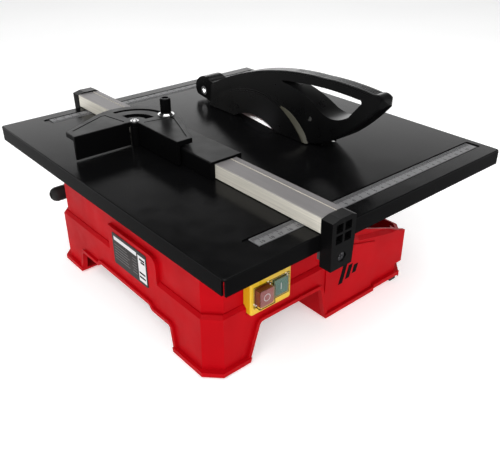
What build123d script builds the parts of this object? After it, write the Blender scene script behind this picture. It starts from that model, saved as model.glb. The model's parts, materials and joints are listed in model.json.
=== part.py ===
from build123d import *
import math
import os

# Bench-top wet tile saw.  Frame: X to the right, Y away from the operator, Z up, millimetres.
# The origin is on the ground, under the middle of the table.

os.makedirs("parts", exist_ok=True)

# ---------------------------------------------------------------- driving dimensions
TABLE_WIDTH = 374.0
TABLE_DEPTH = 414.0
TABLE_TOP = 160.0
SHEET = 2.0
LIP_HEIGHT = 16.0
LIP_CORNER_GAP = 3.5

BLADE_X = 61.0
AXIS_Y = 8.0
AXIS_Z = 105.0
BLADE_RADIUS = 90.0
BLADE_THICK = 2.2
ARBOR_RADIUS = 8.0
FLANGE_RADIUS = 20.0

TILT_X = BLADE_X - 21.5          # tilt axis: along Y, level with the table's top
SLOT_LEFT = TILT_X + 19.0
SLOT_RIGHT = TILT_X + 35.5
SLOT_FRONT = -77.8
SLOT_FRONT_LEFT = -67.5
SLOT_REAR = 146.0
WIDE_SLOT_REAR = (54.5, 80.0)
WIDE_SLOT_FRONT = (42.2, -20.0)

BASE_LEFT = -163.0
BASE_RIGHT = 128.0
BASE_FRONT = -153.0
BASE_REAR = 152.0
BASE_BOTTOM = 3.0
BASE_TOP = 156.0
CORNER_CUT = 15.0
FLANGE_TOP = 8.0
SKIRT_TOP = 70.0
SKIRT_INSET = 4.0
UPPER_INSET = 8.0
WALL = 3.0
TUB_LEFT = -10.0

RULER_LEFT = -135.2
RULER_LENGTH = 309.8
RULER_WIDTH = 13.3

RAIL_LEFT = -86.0
RAIL_WIDTH = 27.0
RAIL_BOTTOM = TABLE_TOP + 0.4
RAIL_TOP = TABLE_TOP + 15.5

PIVOT_Y = 128.0                  # guard hinge, on the splitter
PIVOT_Z = 172.4
GUARD_BOTTOM = TABLE_TOP + 1.2

HEAD_X = -98.0                   # pivot of the angle guide's head
HEAD_Y = 55.2
HEAD_BOTTOM = TABLE_TOP + 21.5
HEAD_TOP = TABLE_TOP + 26.8
KNOB_ARM = 36.6
KNOB_ANGLE = -9.0

MOTOR_RADIUS = 46.0
MOTOR_LEFT = -96.0
MOTOR_RIGHT = 8.0

table_half_width = TABLE_WIDTH / 2
table_half_depth = TABLE_DEPTH / 2
table_under = TABLE_TOP - SHEET
lip_bottom = TABLE_TOP - LIP_HEIGHT
rail_right = RAIL_LEFT + RAIL_WIDTH
blade_left = BLADE_X - BLADE_THICK / 2
blade_right = BLADE_X + BLADE_THICK / 2
upper_front = BASE_FRONT + UPPER_INSET
upper_rear = BASE_REAR - UPPER_INSET
front_inside = upper_front + WALL
rear_inside = upper_rear - WALL
knob_x = HEAD_X + KNOB_ARM * math.cos(math.radians(KNOB_ANGLE))
knob_y = HEAD_Y + KNOB_ARM * math.sin(math.radians(KNOB_ANGLE))


# ---------------------------------------------------------------- helpers
def block(x0, x1, y0, y1, z0, z1):
    size = Box(abs(x1 - x0), abs(y1 - y0), abs(z1 - z0))
    return Pos((x0 + x1) / 2, (y0 + y1) / 2, (z0 + z1) / 2) * size


def rod_x(radius, x0, x1, y, z):
    return Pos((x0 + x1) / 2, y, z) * Rot(0, 90, 0) * Cylinder(radius, abs(x1 - x0))


def rod_y(radius, y0, y1, x, z):
    return Pos(x, (y0 + y1) / 2, z) * Rot(90, 0, 0) * Cylinder(radius, abs(y1 - y0))


def rod_z(radius, z0, z1, x, y):
    return Pos(x, y, (z0 + z1) / 2) * Cylinder(radius, abs(z1 - z0))


def polygon(*points):
    return make_face(Polyline(*points, close=True))


def slab_yz(face, x0, x1):
    """Extrude a face drawn as (Y, Z) from x0 to x1."""
    plane = Plane(origin=(x0, 0, 0), x_dir=(0, 1, 0), z_dir=(1, 0, 0))
    return extrude(plane * face, amount=x1 - x0)


def slab_xz(face, y0, y1):
    """Extrude a face drawn as (X, Z) from y0 to y1."""
    plane = Plane(origin=(0, y1, 0), x_dir=(1, 0, 0), z_dir=(0, -1, 0))
    return extrude(plane * face, amount=y1 - y0)


def slab_xy(face, z0, z1):
    """Extrude a face drawn as (X, Y) from z0 to z1."""
    return extrude(Pos(0, 0, z0) * face, amount=z1 - z0)


def hex_x(across_corners, x0, x1, y, z):
    face = Pos(y, z) * RegularPolygon(across_corners / 2, 6)
    return slab_yz(face, x0, x1)


def polar(radius, degrees):
    angle = math.radians(degrees)
    return (radius * math.cos(angle), radius * math.sin(angle))


def arc_band(inner, outer, start, end):
    """Flat ring sector about the origin, between two angles in degrees."""
    middle = (start + end) / 2
    edges = [
        ThreePointArc(polar(outer, start), polar(outer, middle), polar(outer, end)),
        Line(polar(outer, end), polar(inner, end)),
        ThreePointArc(polar(inner, end), polar(inner, middle), polar(inner, start)),
        Line(polar(inner, start), polar(outer, start)),
    ]
    return make_face(edges)


def arc_slot(radius, half_width, start, end):
    """Curved slot with round ends about the origin."""
    slot = arc_band(radius - half_width, radius + half_width, start, end)
    for angle in (start, end):
        slot += Pos(*polar(radius, angle)) * Circle(half_width)
    return slot


def save(name, part):
    export_step(part, f"parts/{name}.step")


# ---------------------------------------------------------------- base
def base_outline(inset):
    """Plan of the base: a rectangle with cut corners, moved in by the inset."""
    x0 = BASE_LEFT + inset
    x1 = BASE_RIGHT - inset
    y0 = BASE_FRONT + inset
    y1 = BASE_REAR - inset
    cut = CORNER_CUT
    return polygon((x0 + cut, y0), (x1 - cut, y0), (x1, y0 + cut), (x1, y1 - cut),
                   (x1 - cut, y1), (x0 + cut, y1), (x0, y1 - cut), (x0, y0 + cut))


SHOULDER_LEFT = (5.0, BASE_TOP)
SHOULDER_KNEE = (39.0, 91.0)
SHOULDER_END = (119.0, 62.0)
SWITCH_X = (-117.0, -66.0)
SWITCH_Z = (60.0, 98.0)
GLAND_X = -124.0
GLAND_Z = 76.5
TILT_GUIDE_ANGLE = 245.0
TILT_LOCK_ANGLE = 205.0
TILT_SLOT_RADIUS = 60.0
DRAIN_Y = -95.0
DRAIN_Z = 17.0
RIB_X = (-90.0, -84.0)
RIB_TOP = 52.0
MOTOR_BOLT_X = (-87.0, -8.0)
MOTOR_BOLT_Y = (-30.0, 46.0)
FOOT_LENGTH = 27.0
FOOT_INSET = 2.5


def tilt_point(angle):
    dx, dz = polar(TILT_SLOT_RADIUS, angle)
    return TILT_X + dx, TABLE_TOP + dz


def shoulder_cut():
    """Everything above the right shoulder, which leaves room for the tilted table."""
    far = BASE_RIGHT + 20
    high = BASE_TOP + 20
    face = polygon((SHOULDER_LEFT[0], high), SHOULDER_LEFT, SHOULDER_KNEE, SHOULDER_END,
                   (far, SHOULDER_END[1] - 5), (far, high))
    return slab_xz(face, BASE_FRONT - 10, BASE_REAR + 10)


def side_arch_face():
    """Opening under the left wall, between the two legs, as (Y, Z)."""
    arch = polygon((-92, -5), (-86, 32), (-54, 32), (-50, 37), (50, 37), (54, 32), (91, 32), (100, -5))
    return fillet([v for v in arch.vertices() if v.Y > 20], 3.5)


def front_arch_face():
    """Opening under the front or rear wall, between the left leg and the tub, as (X, Z)."""
    arch = polygon((-117, -5), (-101, 45), (-19, 45), (-8, -5))
    return fillet([v for v in arch.vertices() if v.Y > 20], 5.0)


def arch_border(arch, width):
    """Band of an even width round the arch, above the ground."""
    return (offset(arch, amount=width) - arch) & Pos(0, 45) * Rectangle(400, 83.9)


def tub_front():
    """Flush front of the tub as (X, Z): no ledge, up to the shoulder's line."""
    return polygon((TUB_LEFT - 4, 20), (TUB_LEFT - 4, 100), (19, 97), (41, 82), (120, 65.5), (120, 20))


def make_base_housing():
    outer = slab_xy(base_outline(0), BASE_BOTTOM, FLANGE_TOP)
    outer += slab_xy(base_outline(SKIRT_INSET), BASE_BOTTOM, SKIRT_TOP)
    outer += slab_xy(base_outline(UPPER_INSET), SKIRT_TOP, BASE_TOP)
    # sloping ledge between skirt and upper wall
    ledge_edges = [e for e in outer.edges()
                   if abs(e.center().Z - SKIRT_TOP) < 0.01 and e.length > 5 and not inside_upper(e.center())]
    outer = chamfer(ledge_edges, 3.2)
    # panel for the rating plate, flush with the skirt
    outer += slab_yz(label_panel(), BASE_LEFT + SKIRT_INSET, BASE_LEFT + UPPER_INSET + 2)
    # flush front and rear of the tub, with a sloping rim along the shoulder
    for skirt, wall in ((BASE_FRONT + SKIRT_INSET, upper_front), (BASE_REAR - SKIRT_INSET, upper_rear)):
        face = slab_xz(tub_front(), min(skirt, wall), max(skirt, wall))
        top_edges = [e for e in face.edges()
                     if e.center().Z > 60 and abs(e.center().Y - skirt) < 0.01 and e.length > 5]
        outer += chamfer(top_edges, 3.8)
    outer += slab_xz(polygon((-11, 9), (66, 9), (66, 68), (30, 78), (-11, 78)),
                     BASE_FRONT + SKIRT_INSET - 1.2, BASE_FRONT + SKIRT_INSET + 2)
    # raised border round each arch
    side_border = slab_yz(arch_border(side_arch_face(), 4.0), BASE_LEFT + 1.2, BASE_LEFT + SKIRT_INSET + 2)
    front_border = slab_xz(arch_border(front_arch_face(), 4.0), BASE_FRONT + 1.2, BASE_FRONT + SKIRT_INSET + 2)
    rear_border = slab_xz(arch_border(front_arch_face(), 4.0), BASE_REAR - SKIRT_INSET - 2, BASE_REAR - 1.2)
    outer += side_border + front_border + rear_border
    # the flange is higher beyond the tub's panel
    outer += block(68, BASE_RIGHT - CORNER_CUT, BASE_FRONT, BASE_FRONT + SKIRT_INSET + 2, FLANGE_TOP - 1, FLANGE_TOP + 3)
    outer -= block(68, BASE_RIGHT - CORNER_CUT, BASE_FRONT - 1, BASE_FRONT + SKIRT_INSET, BASE_BOTTOM - 1, FLANGE_TOP - 2)
    skirt_inner = SKIRT_INSET + WALL
    upper_inner = UPPER_INSET + WALL
    hollow = slab_xy(base_outline(skirt_inner), BASE_BOTTOM + WALL, SKIRT_TOP - 4)
    hollow += slab_xy(base_outline(upper_inner), SKIRT_TOP - 4, BASE_TOP + 1)
    housing = outer - hollow
    # open the floor on the motor side, all but the two leg soles
    floor_hole = polygon((BASE_LEFT + 18, -84), (-121, -84), (-121, -142), (TUB_LEFT, -142),
                         (TUB_LEFT, 141), (-121, 141), (-121, 83), (BASE_LEFT + 18, 83))
    housing -= slab_xy(floor_hole, BASE_BOTTOM - 1, BASE_BOTTOM + WALL + 1)
    # tub wall and cross rib carry the motor cradle
    inside = slab_xy(base_outline(skirt_inner), BASE_BOTTOM, RIB_TOP)
    tub_wall = block(TUB_LEFT, TUB_LEFT + 4, -160, 160, BASE_BOTTOM, RIB_TOP)
    rib = block(RIB_X[0], RIB_X[1], -160, 160, 36, RIB_TOP)
    bosses = Part()
    for x in MOTOR_BOLT_X:
        for y in MOTOR_BOLT_Y:
            bosses += rod_z(6.0, 38, RIB_TOP, x, y)
    housing += (tub_wall + rib + bosses) & inside
    housing -= shoulder_cut()
    housing -= slab_yz(side_arch_face(), BASE_LEFT - 10, BASE_LEFT + 30)
    housing -= slab_xz(front_arch_face() & Pos(-117, 20) * Rectangle(214, 80), BASE_FRONT - 10, BASE_FRONT + 30)
    housing -= slab_xz(front_arch_face() & Pos(-117, 20) * Rectangle(214, 80), BASE_REAR - 30, BASE_REAR + 10)
    # seat of the switch frame, cut into the ledge
    housing += block(SWITCH_X[0] - 1, SWITCH_X[1] + 1, upper_front - 3, upper_front + WALL, SWITCH_Z[0] - 3, SKIRT_TOP - 3)
    housing -= block(SWITCH_X[0], SWITCH_X[1], -160, upper_front, SWITCH_Z[0], SWITCH_Z[1])
    housing -= block(STOP_X[0] - 1.5, START_X[1] + 1.5, -160, -130, BUTTON_Z[0] - 1.0, BUTTON_Z[1] + 1.5)
    # holes: gland, tilt bolts, motor bolts, drain, recesses for the feet
    housing -= rod_y(6.9, 130, 160, GLAND_X, GLAND_Z)
    housing -= rod_y(10.0, upper_rear, 160, GLAND_X, GLAND_Z)
    for angle in (TILT_GUIDE_ANGLE, TILT_LOCK_ANGLE):
        x, z = tilt_point(angle)
        housing -= rod_y(3.1, -160, -135, x, z)
        housing -= rod_y(3.1, 135, 160, x, z)
    for x in MOTOR_BOLT_X:
        for y in MOTOR_BOLT_Y:
            housing -= rod_z(2.5, 41, RIB_TOP + 1, x, y)
    housing -= rod_x(5.0, BASE_RIGHT - 12, BASE_RIGHT + 2, DRAIN_Y, DRAIN_Z)
    housing -= foot_pads(FOOT_INSET, BASE_BOTTOM - 1, BASE_BOTTOM + 1)
    return housing


def inside_upper(point):
    """True for a point on the foot of the upper wall, not on the skirt's outer edge."""
    inset = min(point.X - BASE_LEFT, BASE_RIGHT - point.X, point.Y - BASE_FRONT, BASE_REAR - point.Y)
    reach_x = (BASE_RIGHT - BASE_LEFT) / 2 - CORNER_CUT / 2 - UPPER_INSET - 4
    reach_y = (BASE_REAR - BASE_FRONT) / 2 - CORNER_CUT / 2 - UPPER_INSET - 4
    on_corner = (abs(point.X - (BASE_LEFT + BASE_RIGHT) / 2) > reach_x
                 and abs(point.Y - (BASE_FRONT + BASE_REAR) / 2) > reach_y)
    limit = SKIRT_INSET + (CORNER_CUT / 2 + 2.0 if on_corner else 0.5)
    return inset > limit


def foot_pads(inset, z0, z1):
    """Four pads that follow the base's corners."""
    corners = Part()
    for x0 in (BASE_LEFT, BASE_RIGHT - FOOT_LENGTH):
        for y0 in (BASE_FRONT, BASE_REAR - FOOT_LENGTH):
            corners += block(x0, x0 + FOOT_LENGTH, y0, y0 + FOOT_LENGTH, z0, z1)
    return corners & slab_xy(base_outline(inset), z0, z1)


def label_panel():
    """Panel face as (Y, Z), with one round upper corner."""
    edges = [
        Line((-64, 60), (-64, 86)),
        ThreePointArc((-64, 86), (-61, 93.5), (-53, 97)),
        Line((-53, 97), (26, 97)),
        Line((26, 97), (26, 60)),
        Line((26, 60), (-64, 60)),
    ]
    return make_face(edges)


def make_rubber_feet():
    return foot_pads(FOOT_INSET, 0, BASE_BOTTOM + 1)


def make_drain_plug():
    wall_out = BASE_RIGHT - SKIRT_INSET
    plug = rod_x(4.9, wall_out - WALL - 4, wall_out, DRAIN_Y, DRAIN_Z)
    plug += rod_x(8.0, wall_out, wall_out + 2.5, DRAIN_Y, DRAIN_Z)
    plug += block(wall_out + 2.4, wall_out + 3.9, DRAIN_Y - 2, DRAIN_Y + 2, DRAIN_Z - 6, DRAIN_Z + 6)
    return plug


def make_rating_plate():
    face = BASE_LEFT + SKIRT_INSET
    plate = block(face - 0.5, face, -48.2, 17.0, 54.5, 92.3)
    return fillet(plate.edges().filter_by(Axis.X), 2.0)


# ---------------------------------------------------------------- switch
BUTTON_Z = (70.5, 88.0)
STOP_X = (-110.2, -94.0)
START_X = (-88.5, -71.5)
FRAME_FRONT = upper_front - 10.0
BOOT_FRONT = FRAME_FRONT - 7.0


def make_switch_frame():
    frame = block(SWITCH_X[0], SWITCH_X[1], FRAME_FRONT, upper_front, SWITCH_Z[0], SWITCH_Z[1])
    frame = fillet(frame.edges().filter_by(Axis.Y), 3.5)
    front_edges = frame.faces().sort_by(Axis.Y)[0].edges()
    frame = chamfer(front_edges, 1.2)
    for x0, x1 in (STOP_X, START_X):
        frame -= block(x0 - 1.4, x1 + 1.4, FRAME_FRONT - 1, upper_front + 1, BUTTON_Z[0] - 1.4, BUTTON_Z[1] + 1.4)
        frame -= block(x0 - 3.0, x1 + 3.0, FRAME_FRONT - 1, FRAME_FRONT + 0.8, BUTTON_Z[0] - 3.0, BUTTON_Z[1] + 3.0)
    return frame


def make_switch_body():
    body = block(STOP_X[0] - 1.4, START_X[1] + 1.4, upper_front - 3, upper_front + 32,
                 BUTTON_Z[0] - 0.9, BUTTON_Z[1] + 1.4)
    body -= block(STOP_X[1] + 1.3, START_X[0] - 1.3, upper_front - 4, upper_front + 0.2, 0, 200)
    for x0, x1 in (STOP_X, START_X):
        body -= block(x0 - 0.3, x1 + 0.3, upper_front - 4, upper_front + 9,
                      BUTTON_Z[0] - 0.3, BUTTON_Z[1] + 0.3)
    return body


def make_switch_boot():
    """Clear soft cap: a box over the off button and a low blister over the on button."""
    boot = Part()
    fronts = ((STOP_X, BOOT_FRONT), (START_X, FRAME_FRONT - 2.0))
    for (x0, x1), front in fronts:
        boot += block(x0 - 2.8, x1 + 2.8, FRAME_FRONT - 0.6, FRAME_FRONT + 0.7, BUTTON_Z[0] - 2.8, BUTTON_Z[1] + 2.8)
        boot += block(x0 - 1.3, x1 + 1.3, front, FRAME_FRONT, BUTTON_Z[0] - 1.3, BUTTON_Z[1] + 1.3)
    for (x0, x1), front in fronts:
        boot -= block(x0 - 0.5, x1 + 0.5, front + 0.8, FRAME_FRONT + 2, BUTTON_Z[0] - 0.5, BUTTON_Z[1] + 0.5)
    return boot


def make_button(x_range, front):
    """Square push-button; the off button stands well out of the frame."""
    x0, x1 = x_range
    button = block(x0, x1, front, upper_front + 4, BUTTON_Z[0], BUTTON_Z[1])
    return fillet(button.edges().filter_by(Axis.Y), 1.5)


# ---------------------------------------------------------------- cord gland
def make_cord_gland():
    elbow_y = upper_rear + 20
    stub = rod_y(6.8, upper_rear - WALL - 9, upper_rear + 1, GLAND_X, GLAND_Z)
    flange = rod_y(9.8, upper_rear, upper_rear + 4, GLAND_X, GLAND_Z)
    neck = rod_y(8.7, upper_rear + 3, elbow_y, GLAND_X, GLAND_Z)
    knee = Pos(GLAND_X, elbow_y, GLAND_Z) * Sphere(8.7)
    barrel = rod_x(8.7, -151.5, GLAND_X, elbow_y, GLAND_Z)
    tip = Pos(-151.5, elbow_y, GLAND_Z) * Sphere(8.7)
    gland = stub + flange + neck + knee + barrel + tip
    gland -= rod_x(3.8, -170, GLAND_X, elbow_y, GLAND_Z)
    gland -= rod_y(3.8, upper_rear - 20, elbow_y, GLAND_X, GLAND_Z)
    return gland


def make_gland_nut():
    face = Pos(GLAND_X, GLAND_Z) * RegularPolygon(11.5, 6)
    nut = slab_xz(face, upper_rear - WALL - 6, upper_rear - WALL)
    return nut - rod_y(6.8, 100, 160, GLAND_X, GLAND_Z)


# ---------------------------------------------------------------- motor
def make_motor_housing():
    tube = rod_x(MOTOR_RADIUS - 2.2, MOTOR_LEFT, MOTOR_RIGHT, AXIS_Y, AXIS_Z)
    fin_count = 28
    for k in range(fin_count):
        turn = Pos(0, AXIS_Y, AXIS_Z) * Rot(360.0 * k / fin_count, 0, 0)
        fin = block(MOTOR_LEFT + 4, MOTOR_RIGHT - 4, -1.1, 1.1, MOTOR_RADIUS - 4, MOTOR_RADIUS)
        tube += turn * fin
    return tube - rod_x(MOTOR_RADIUS - 5, MOTOR_LEFT - 1, MOTOR_RIGHT + 1, AXIS_Y, AXIS_Z)


BEARING_RADIUS = 17.0
FRONT_BEARING = (11.0, 21.0)
REAR_BEARING = (-107.0, -98.0)
NOSE_END = 44.0


def make_motor_front_bell():
    bell = rod_x(MOTOR_RADIUS, MOTOR_RIGHT, MOTOR_RIGHT + 14, AXIS_Y, AXIS_Z)
    bell += rod_x(30.0, MOTOR_RIGHT + 14, NOSE_END, AXIS_Y, AXIS_Z)
    bell -= rod_x(BEARING_RADIUS, MOTOR_RIGHT - 1, FRONT_BEARING[1], AXIS_Y, AXIS_Z)
    bell -= rod_x(12.0, FRONT_BEARING[1] - 1, NOSE_END + 1, AXIS_Y, AXIS_Z)
    for angle in (45, 135, 225, 315):
        y, z = polar(24.0, angle)
        bell -= rod_x(2.05, NOSE_END - 9, NOSE_END + 1, AXIS_Y + y, AXIS_Z + z)
    return bell


def make_motor_rear_bell():
    bell = rod_x(MOTOR_RADIUS, MOTOR_LEFT - 12, MOTOR_LEFT, AXIS_Y, AXIS_Z)
    bell -= rod_x(BEARING_RADIUS, REAR_BEARING[0], MOTOR_LEFT + 1, AXIS_Y, AXIS_Z)
    bell -= rod_x(11.0, MOTOR_LEFT - 13, MOTOR_LEFT, AXIS_Y, AXIS_Z)
    return bell


def make_motor_bearings():
    bearings = Part()
    for x0, x1 in (FRONT_BEARING, REAR_BEARING):
        ring = rod_x(BEARING_RADIUS - 0.02, x0, x1, AXIS_Y, AXIS_Z)
        bearings += ring - rod_x(ARBOR_RADIUS + 0.04, x0 - 1, x1 + 1, AXIS_Y, AXIS_Z)
    return bearings


def make_motor_stator():
    stator = rod_x(MOTOR_RADIUS - 5.1, -82, -6, AXIS_Y, AXIS_Z)
    return stator - rod_x(27.5, -90, 0, AXIS_Y, AXIS_Z)


def make_fan_cover():
    cover = rod_x(MOTOR_RADIUS, MOTOR_LEFT - 30, MOTOR_LEFT - 12, AXIS_Y, AXIS_Z)
    cover -= rod_x(MOTOR_RADIUS - 2, MOTOR_LEFT - 28, MOTOR_LEFT - 11, AXIS_Y, AXIS_Z)
    for k in range(12):
        y, z = polar(28.0, 30.0 * k)
        cover -= rod_x(4.5, MOTOR_LEFT - 31, MOTOR_LEFT - 27, AXIS_Y + y, AXIS_Z + z)
    return cover


def make_motor_cradle():
    """Bent steel plate with two saddles under the motor."""
    plate = block(-96, -2, -42, 58, RIB_TOP, RIB_TOP + 3)
    for x in (-72.0, -24.0):
        saddle = block(x, x + 3, -34, 50, RIB_TOP + 3, 88)
        plate += saddle
    plate -= rod_x(MOTOR_RADIUS + 0.05, -100, 0, AXIS_Y, AXIS_Z)
    for x in MOTOR_BOLT_X:
        for y in MOTOR_BOLT_Y:
            plate -= rod_z(2.6, RIB_TOP - 1, RIB_TOP + 4, x, y)
    return plate


def make_motor_bolts():
    bolts = Part()
    for x in MOTOR_BOLT_X:
        for y in MOTOR_BOLT_Y:
            head = Pos(x, y) * RegularPolygon(4.6, 6)
            bolts += slab_xy(head, RIB_TOP + 3, RIB_TOP + 6.5) + rod_z(2.45, 42, RIB_TOP + 3, x, y)
    return bolts


CAPACITOR_Y = -94.0
CAPACITOR_Z = 92.0


def make_run_capacitor():
    can = rod_x(17.0, -84, -18, CAPACITOR_Y, CAPACITOR_Z)
    can = fillet(can.edges().filter_by(GeomType.CIRCLE), 2.0)
    for side in (-6, 6):
        can += block(-18, -11, CAPACITOR_Y + side - 3, CAPACITOR_Y + side + 3, CAPACITOR_Z - 0.4, CAPACITOR_Z + 0.4)
    return can


def make_capacitor_clip():
    """Strap that hangs the capacitor on the inside of the front wall."""
    ring = rod_x(19.0, -60, -44, CAPACITOR_Y, CAPACITOR_Z)
    ring += block(-60, -44, front_inside, CAPACITOR_Y - 15, CAPACITOR_Z - 1, CAPACITOR_Z + 1)
    ring += block(-60, -44, front_inside, front_inside + 2, CAPACITOR_Z - 10, CAPACITOR_Z + 10)
    return ring - rod_x(17.0, -61, -43, CAPACITOR_Y, CAPACITOR_Z)


# ---------------------------------------------------------------- spindle
def make_arbor_shaft():
    shaft = rod_x(ARBOR_RADIUS, MOTOR_LEFT - 24, BLADE_X + 16, AXIS_Y, AXIS_Z)
    shaft = chamfer(shaft.edges().filter_by(GeomType.CIRCLE), 1.0)
    return shaft


def make_motor_rotor():
    rotor = rod_x(26.8, -80, -8, AXIS_Y, AXIS_Z)
    for x in (-86.0, -8.0):
        rotor += rod_x(22.0, x, x + 6, AXIS_Y, AXIS_Z)
    return rotor - rod_x(ARBOR_RADIUS, -90, 0, AXIS_Y, AXIS_Z)


def make_motor_fan():
    x0 = MOTOR_LEFT - 25
    fan = rod_x(14.0, x0 + 1, x0 + 11, AXIS_Y, AXIS_Z)
    for k in range(8):
        turn = Pos(0, AXIS_Y, AXIS_Z) * Rot(45.0 * k, 0, 0)
        fan += turn * block(x0 + 1, x0 + 10, -1, 1, 12, 41)
    fan += rod_x(41.0, x0 + 9.5, x0 + 11, AXIS_Y, AXIS_Z)
    return fan - rod_x(ARBOR_RADIUS, x0, x0 + 12, AXIS_Y, AXIS_Z)


def make_inner_flange():
    flange = rod_x(13.0, 49, 54, AXIS_Y, AXIS_Z)
    flange += rod_x(FLANGE_RADIUS, 53, blade_left, AXIS_Y, AXIS_Z)
    flange -= rod_x(15.0, blade_left - 0.6, blade_left + 1, AXIS_Y, AXIS_Z)
    return flange - rod_x(ARBOR_RADIUS, 40, 70, AXIS_Y, AXIS_Z)


def make_outer_flange():
    flange = rod_x(FLANGE_RADIUS, blade_right, blade_right + 3, AXIS_Y, AXIS_Z)
    flange += rod_x(13.0, blade_right + 2, blade_right + 4.5, AXIS_Y, AXIS_Z)
    flange -= rod_x(15.0, blade_right - 1, blade_right + 0.6, AXIS_Y, AXIS_Z)
    return flange - rod_x(ARBOR_RADIUS, 50, 80, AXIS_Y, AXIS_Z)


def make_arbor_nut():
    x0 = blade_right + 4.5
    nut = hex_x(23.0, x0, x0 + 7, AXIS_Y, AXIS_Z)
    return nut - rod_x(ARBOR_RADIUS, x0 - 1, x0 + 9, AXIS_Y, AXIS_Z)


def make_diamond_blade():
    """Steel disc with a slightly thicker continuous rim."""
    core = rod_x(BLADE_RADIUS - 7, BLADE_X - 0.8, BLADE_X + 0.8, AXIS_Y, AXIS_Z)
    rim = rod_x(BLADE_RADIUS, blade_left, blade_right, AXIS_Y, AXIS_Z)
    rim -= rod_x(BLADE_RADIUS - 7, blade_left - 1, blade_right + 1, AXIS_Y, AXIS_Z)
    hub = rod_x(FLANGE_RADIUS + 1, blade_left, blade_right, AXIS_Y, AXIS_Z)
    return core + rim + hub - rod_x(ARBOR_RADIUS, 50, 70, AXIS_Y, AXIS_Z)


# ---------------------------------------------------------------- blade case and splitter
CASE_LEFT = NOSE_END
CASE_RIGHT = 78.0
CASE_RADIUS = 96.5
CASE_CUT = 98.0
CASE_SCREW_ANGLES = (200.0, 245.0, 295.0, 335.0)


def make_blade_case():
    """Splash pan round the lower half of the blade, screwed to the motor's nose."""
    back = rod_x(CASE_RADIUS, CASE_LEFT, CASE_LEFT + 3, AXIS_Y, AXIS_Z)
    back &= block(CASE_LEFT - 1, CASE_RIGHT + 1, -120, 140, 0, 134)
    back += block(CASE_LEFT, CASE_LEFT + 3, 84, 138, 100, 134)
    rim = rod_x(CASE_RADIUS, CASE_LEFT + 2, CASE_RIGHT, AXIS_Y, AXIS_Z)
    rim -= rod_x(CASE_RADIUS - 2.5, CASE_LEFT + 1, CASE_RIGHT + 1, AXIS_Y, AXIS_Z)
    rim &= block(CASE_LEFT, CASE_RIGHT + 1, -120, 120, 0, CASE_CUT)
    case = back + rim
    for angle in CASE_SCREW_ANGLES:
        y, z = polar(CASE_RADIUS - 5.0, angle)
        boss = rod_x(3.4, CASE_RIGHT - 12, CASE_RIGHT, AXIS_Y + y, AXIS_Z + z)
        boss &= rod_x(CASE_RADIUS, CASE_LEFT, CASE_RIGHT, AXIS_Y, AXIS_Z)
        case += boss - rod_x(BLADE_RADIUS + 1.2, 0, 100, AXIS_Y, AXIS_Z)
    case -= rod_x(14.0, 40, 50, AXIS_Y, AXIS_Z)
    for angle in (45, 135, 225, 315):
        y, z = polar(24.0, angle)
        case -= rod_x(2.1, 40, 50, AXIS_Y + y, AXIS_Z + z)
    for y in (110.0, 128.0):
        case -= rod_x(2.1, 40, 50, y, 116.0)
    return case


def make_case_mount_screws():
    """Pan-head screws: case to motor nose, bracket to case and splitter to bracket."""
    screws = Part()
    for angle in (45, 135, 225, 315):
        y, z = polar(24.0, angle)
        screws += rod_x(3.6, CASE_LEFT + 3, CASE_LEFT + 4.8, AXIS_Y + y, AXIS_Z + z)
        screws += rod_x(2.0, CASE_LEFT - 8, CASE_LEFT + 3.2, AXIS_Y + y, AXIS_Z + z)
    for y in (116.0, 130.0):
        screws += rod_x(2.0, BLADE_X - 4, BLADE_X + 1.2, y, 124.0)
        screws += rod_x(3.6, BLADE_X + 1, BLADE_X + 2.8, y, 124.0)
    for y in (110.0, 128.0):
        screws += rod_x(2.0, CASE_LEFT - 0.2, CASE_LEFT + 7, y, 116.0)
        screws += rod_x(3.6, CASE_LEFT - 1.8, CASE_LEFT, y, 116.0)
    return screws


def make_blade_case_cover():
    cover = rod_x(CASE_RADIUS, CASE_RIGHT, CASE_RIGHT + 2, AXIS_Y, AXIS_Z)
    cover &= block(CASE_RIGHT - 1, CASE_RIGHT + 3, -120, 120, 0, CASE_CUT)
    for angle in CASE_SCREW_ANGLES:
        y, z = polar(CASE_RADIUS - 3.6, angle)
        cover -= rod_x(1.3, 70, 90, AXIS_Y + y, AXIS_Z + z)
    return cover


def make_case_cover_screws():
    screws = Part()
    for angle in CASE_SCREW_ANGLES:
        y, z = polar(CASE_RADIUS - 3.6, angle)
        screws += rod_x(1.25, CASE_RIGHT, CASE_RIGHT + 2.2, AXIS_Y + y, AXIS_Z + z)
        screws += rod_x(2.6, CASE_RIGHT + 2, CASE_RIGHT + 3.6, AXIS_Y + y, AXIS_Z + z)
    return screws


SPLITTER_INNER = 98.0


def splitter_face():
    """Riving knife as (Y, Z): concentric with the blade in front, an eye for the guard at the top."""
    def rim(angle):
        y, z = polar(SPLITTER_INNER, angle)
        return (AXIS_Y + y, AXIS_Z + z)
    edges = [
        ThreePointArc(rim(-1), rim(18), rim(38)),
        Line(rim(38), (PIVOT_Y - 4, PIVOT_Z + 9.1)),
        ThreePointArc((PIVOT_Y - 4, PIVOT_Z + 9.1), (PIVOT_Y + 8, PIVOT_Z + 6), (PIVOT_Y + 10, PIVOT_Z)),
        Line((PIVOT_Y + 10, PIVOT_Z), (136, 103.3)),
        Line((136, 103.3), rim(-1)),
    ]
    return make_face(edges)


def make_splitter():
    plate = slab_yz(splitter_face(), BLADE_X - 1, BLADE_X + 1)
    plate -= rod_x(3.05, 50, 70, PIVOT_Y, PIVOT_Z)
    for y in (116.0, 130.0):
        plate -= rod_x(2.1, 50, 70, y, 124.0)
    return plate


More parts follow.
